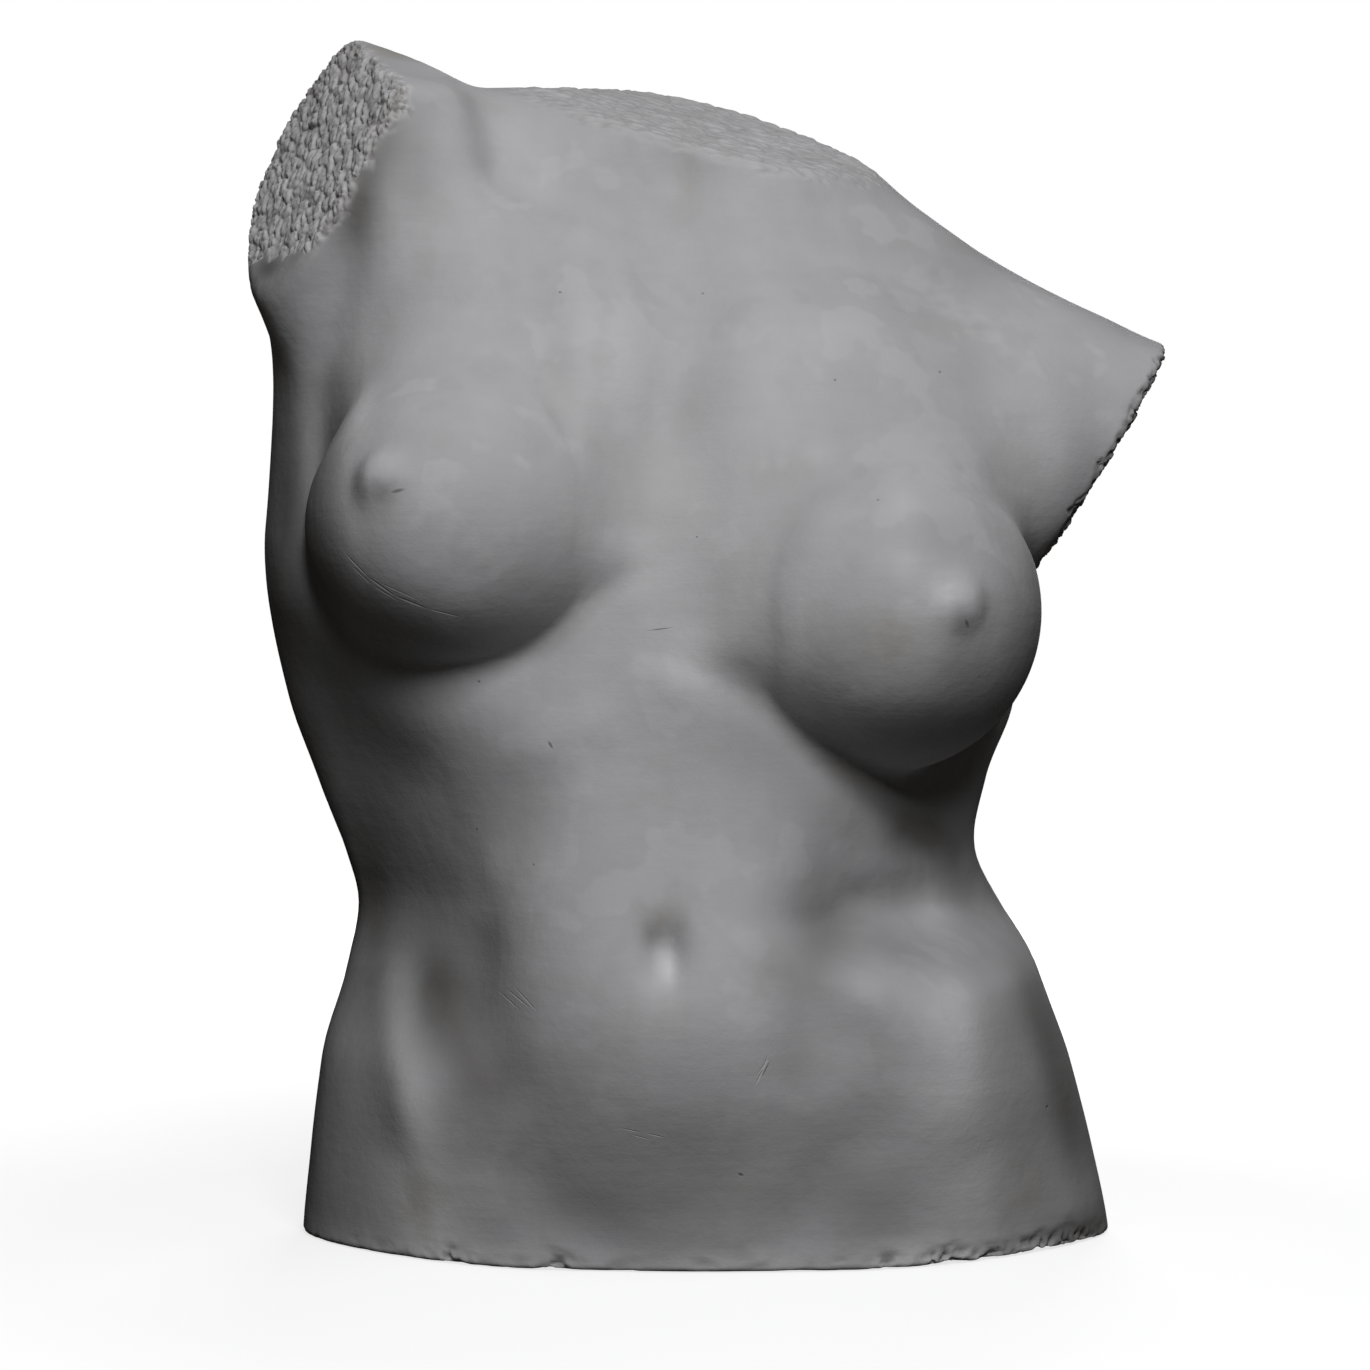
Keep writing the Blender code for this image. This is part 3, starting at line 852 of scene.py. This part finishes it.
NICKS = (
    ((-24.0, 274.0), (-12.8, 275.4), 0.3),
    ((-66.4, 226.5), (-64.6, 223.0), 0.8),
    ((15.0, 43.6), (17.0, 42.6), 0.8),
    ((152.6, 63.8), (153.4, 63.2), 0.9),
    ((104.9, 389.3), (105.8, 389.3), 0.7),
    ((57.5, 384.2), (58.4, 383.8), 0.6),
    ((-63.2, 423.3), (-62.0, 423.3), 0.6),
    # The next two marks, just under the nipples, are painted shade.
    ((-130.5, 330.6), (-124.4, 332.2), 1.0),
    ((109.3, 278.0), (110.9, 273.8), 0.9),
    ((28.2, 92.8), (24.4, 85.2), 0.3),
)


MARK_END = 0.0003  # metres by which a mark reaches past its ends
MARK_DEPTH = 1000.0  # metres, so that a mark runs on through the whole torso


def marks_on_front(n, place, marks):
    """1 on the marks and 0 away from them."""
    total = 0.0
    for (x0, z0), (x1, z1), half_width in marks:
        start, end = placed([(x0, 0, z0), (x1, 0, z1)])
        middle, along = (start + end) / 2, end - start
        local = n.add(
            "Mapping",
            Vector=place,
            Location=(middle[0], 0.0, middle[2]),
            Rotation=(0.0, -math.atan2(along[2], along[0]), 0.0),
            Scale=(math.hypot(along[0], along[2]) / 2 + MARK_END, MARK_DEPTH, half_width / 1000),
        )
        local.vector_type = "TEXTURE"
        far = n.add("VectorMath", **{"0": local.outputs[0]})
        far.operation = "LENGTH"
        total = n.math("MAXIMUM", total, n.spread(far.outputs["Value"], 0.35, 1.0, 1.0, 0.0))
    depth = n.add("SeparateXYZ", Vector=place).outputs["Y"]
    return n.math("MULTIPLY", total, n.math("LESS_THAN", depth, 0.0))


COOL_DARK = (0.378, 0.376, 0.388, 1)
COOL_LIGHT = (0.442, 0.441, 0.457, 1)
BLOTCH = (0.365, 0.355, 0.345, 1)
STREAK = (0.345, 0.335, 0.325, 1)
RUN = (0.48, 0.48, 0.49, 1)
WORN = (0.5, 0.5, 0.515, 1)
RUBBED = (0.33, 0.325, 0.32, 1)
# Pale colour of dust, and of painted light.
DUST_AND_LIGHT = (0.8, 0.8, 0.81, 1)
WARM = (0.3, 0.28, 0.245, 1)
# Dark colour of stains, and of painted shade.
STAIN_AND_SHADE = (0.155, 0.15, 0.145, 1)
# Colour of the painted shade in creases.
CREASE_SHADE = (0.16, 0.14, 0.115, 1)
BROKEN = (0.5, 0.49, 0.487, 1)
# Colour of the painted shade in pits.
PIT_SHADE = (0.08, 0.07, 0.06, 1)
SCRATCH = (0.7, 0.7, 0.71, 1)
NICK = (0.09, 0.08, 0.07, 1)
SPECK = (0.1, 0.09, 0.08, 1)
SPECKS_TO_THE_METRE = 42.0
SPECKLED_SHARE = 0.28  # of the places that could have a speck
CUT_BUMP = 0.0004  # metres by which scratches, nicks and specks are sunk in


def plaster():
    """The grey plaster, with its clouds, streaks, stains, dust, marks and broken faces, and with painted
    shade in creases, pits, furrows and on the flanks and painted light on the hip ridges and other
    rises.
    """
    n = Nodes("plaster")
    place = n.add("TexCoord").outputs["Object"]
    broken, crease, pit_shade = n.stored("broken"), n.stored("crease"), n.stored("pit_shade")
    dirt_and_shade, dust_and_light, warm = n.stored("dirt_and_shade"), n.stored("dust_and_light"), n.stored("warm")

    clouds = n.cloud(place, 9.0, 5.0, 0.55)
    blotches = n.cloud(place, 34.0, 7.0, 0.62)
    streaks = n.cloud(place, 55.0, 5.0, 0.6, (0.14, 0.14, 1.0))
    runs = n.cloud(place, 34.0, 4.0, 0.5, (1.0, 1.0, 0.16))
    worn = n.cloud(place, 24.0, 3.0, 0.55)
    rubbed = n.cloud(place, 40.0, 2.0, 0.5, (1.0, 1.0, 0.6))
    grain = n.cloud(place, 900.0, 3.0, 0.6)
    scratches, nicks = marks_on_front(n, place, SCRATCHES), marks_on_front(n, place, NICKS)
    cells = n.add("TexVoronoi", Vector=place, Scale=SPECKS_TO_THE_METRE)
    drawn = n.add("SeparateColor", Color=cells.outputs["Color"]).outputs[0]
    chosen = n.math("GREATER_THAN", drawn, 1.0 - SPECKLED_SHARE)
    specks = n.math("MULTIPLY", n.spread(cells.outputs["Distance"], 0.016, 0.03, 1.0, 0.0), chosen)

    colour = n.mix(n.spread(clouds, 0.35, 0.65), COOL_DARK, COOL_LIGHT)
    colour = n.mix(n.spread(blotches, 0.42, 0.7, 0.0, 0.4), colour, BLOTCH)
    colour = n.mix(n.spread(streaks, 0.5, 0.72, 0.0, 0.3), colour, STREAK)
    colour = n.mix(n.spread(runs, 0.52, 0.72, 0.0, 0.3), colour, RUN)
    colour = n.mix(n.spread(worn, 0.56, 0.6, 0.0, 0.3), colour, WORN)
    colour = n.mix(n.spread(rubbed, 0.6, 0.66, 0.0, 0.22), colour, RUBBED)
    # Dust and pale patches, and painted light.
    colour = n.mix(dust_and_light, colour, DUST_AND_LIGHT)
    tinted = n.math("MULTIPLY", warm, n.spread(blotches, 0.35, 0.65, 0.5, 1.1))
    colour = n.mix(tinted, colour, WARM)
    # Stains, and painted shade, in one dark colour.
    stained_and_shaded = n.math("MULTIPLY", dirt_and_shade, n.spread(clouds, 0.3, 0.7, 0.85, 1.15))
    colour = n.mix(stained_and_shaded, colour, STAIN_AND_SHADE)
    # Painted shade in the creases.
    colour = n.mix(n.spread(crease, 0.1, 0.8, 0.0, 0.6), colour, CREASE_SHADE)
    colour = n.mix(n.math("MULTIPLY", broken, 0.8), colour, BROKEN)
    # Painted shade in the pits of the broken faces.
    colour = n.mix(n.math("MULTIPLY", pit_shade, 0.75), colour, PIT_SHADE)
    colour = n.mix(n.math("MULTIPLY", scratches, 0.45), colour, SCRATCH)
    colour = n.mix(n.math("MULTIPLY", nicks, 0.6), colour, NICK)
    colour = n.mix(n.math("MULTIPLY", specks, 0.5), colour, SPECK)
    n.give(n.shader, "Base Color", colour)

    rough = n.spread(blotches, 0.3, 0.7, 0.66, 0.82)
    n.give(n.shader, "Roughness", n.math("MAXIMUM", rough, n.math("MULTIPLY", broken, 0.92)))
    n.shader.inputs["Specular IOR Level"].default_value = 0.22

    fine = n.math("ADD", n.math("MULTIPLY", grain, 0.00008), n.math("MULTIPLY", streaks, 0.0006))
    fine = n.math("ADD", fine, n.math("MULTIPLY", blotches, 0.0012))
    cuts = n.math("MAXIMUM", n.math("MAXIMUM", scratches, nicks), specks)
    fine = n.math("SUBTRACT", fine, n.math("MULTIPLY", cuts, CUT_BUMP))
    bump = n.add("Bump", Height=fine, Strength=0.6, Distance=1.0)
    n.give(n.shader, "Normal", bump.outputs[0])
    return n.material


mesh.materials.append(plaster())

# Floor, light and camera

FLOOR_GAP = 0.0005  # metres below the torso, so that the two faces don't coincide
LAMP_COLOUR = (0.985, 0.99, 1.0)
FILL_COLOUR = (1.0, 0.93, 0.84, 1)
FILL_STRENGTH = 0.02
CHEST = (0.0, 0.0, 0.33)
MIDDLE = (0.0, 0.0, 0.3)
PHOTO_WIDTH = 1370  # pixels
PIXEL = 0.46  # millimetres that a pixel shows in the plane through the middle of the trunk
CAMERA_DISTANCE = 1500.0  # millimetres from that plane
CAMERA_SIDE, CAMERA_HEIGHT = -7.6, 250.7  # of the form, in millimetres


def floor_material():
    """A pale floor that fades to white."""
    n = Nodes("floor")
    place = n.add("TexCoord").outputs["Object"]
    n.give(n.shader, "Base Color", n.mix(n.cloud(place, 3.0), (0.3, 0.3, 0.3, 1), (0.33, 0.33, 0.33, 1)))
    far = n.add("VectorMath", **{"0": place})
    far.operation = "LENGTH"
    n.shader.inputs["Roughness"].default_value = 0.9
    n.shader.inputs["Emission Color"].default_value = (1, 1, 1, 1)
    n.material.cycles.emission_sampling = "NONE"
    n.give(n.shader, "Emission Strength", n.spread(far.outputs["Value"], 0.3, 1.0, 0.75, 1.0))
    return n.material


floor_mesh = bpy.data.meshes.new("floor")
corners = [(-4, -2, 0), (4, -2, 0), (4, 8, 0), (-4, 8, 0)]
floor_mesh.from_pydata(corners, [], [(0, 1, 2, 3)])
floor_mesh.materials.append(floor_material())
floor = bpy.data.objects.new("floor", floor_mesh)
floor.location.z = -FLOOR_GAP
floor.visible_diffuse = False
floor.visible_glossy = False
bpy.context.scene.collection.objects.link(floor)


def lamp(name, place, target, size, energy):
    """A square lamp that shines from its place to the target."""
    light = bpy.data.lights.new(name, "AREA")
    light.size, light.energy, light.color = size, energy, LAMP_COLOUR
    thing = bpy.data.objects.new(name, light)
    thing.location = place
    thing.rotation_euler = (Vector(target) - Vector(place)).to_track_quat("-Z", "Y").to_euler()
    bpy.context.scene.collection.objects.link(thing)


lamp("key", (0.167, -1.361, 1.154), CHEST, size=0.55, energy=17.8)
lamp("top", (0.209, -0.448, 1.85), CHEST, size=0.6, energy=5.0)
lamp("back", (0.3, 2.1, 0.75), MIDDLE, size=1.0, energy=17.0)

world = bpy.data.worlds.new("studio")
bpy.context.scene.world = world
world.use_nodes = True
tree = world.node_tree
fill = tree.nodes["Background"]
fill.inputs["Color"].default_value = FILL_COLOUR
fill.inputs["Strength"].default_value = FILL_STRENGTH
backdrop = tree.nodes.new("ShaderNodeBackground")
backdrop.inputs["Color"].default_value = (1, 1, 1, 1)
backdrop.inputs["Strength"].default_value = 1.0
seen = tree.nodes.new("ShaderNodeLightPath")
either = tree.nodes.new("ShaderNodeMixShader")
tree.links.new(seen.outputs["Is Camera Ray"], either.inputs[0])
tree.links.new(fill.outputs[0], either.inputs[1])
tree.links.new(backdrop.outputs[0], either.inputs[2])
tree.links.new(either.outputs[0], tree.nodes["World Output"].inputs["Surface"])
bpy.context.scene.view_settings.view_transform = "Standard"

camera = bpy.data.cameras.new("camera")
camera.sensor_width = 36.0
camera.lens = camera.sensor_width * CAMERA_DISTANCE / (PHOTO_WIDTH * PIXEL)
viewer = bpy.data.objects.new("camera", camera)
viewer.location = placed((CAMERA_SIDE, -CAMERA_DISTANCE, CAMERA_HEIGHT))
viewer.rotation_euler = (math.pi / 2, 0, 0)
bpy.context.scene.collection.objects.link(viewer)
bpy.context.scene.camera = viewer
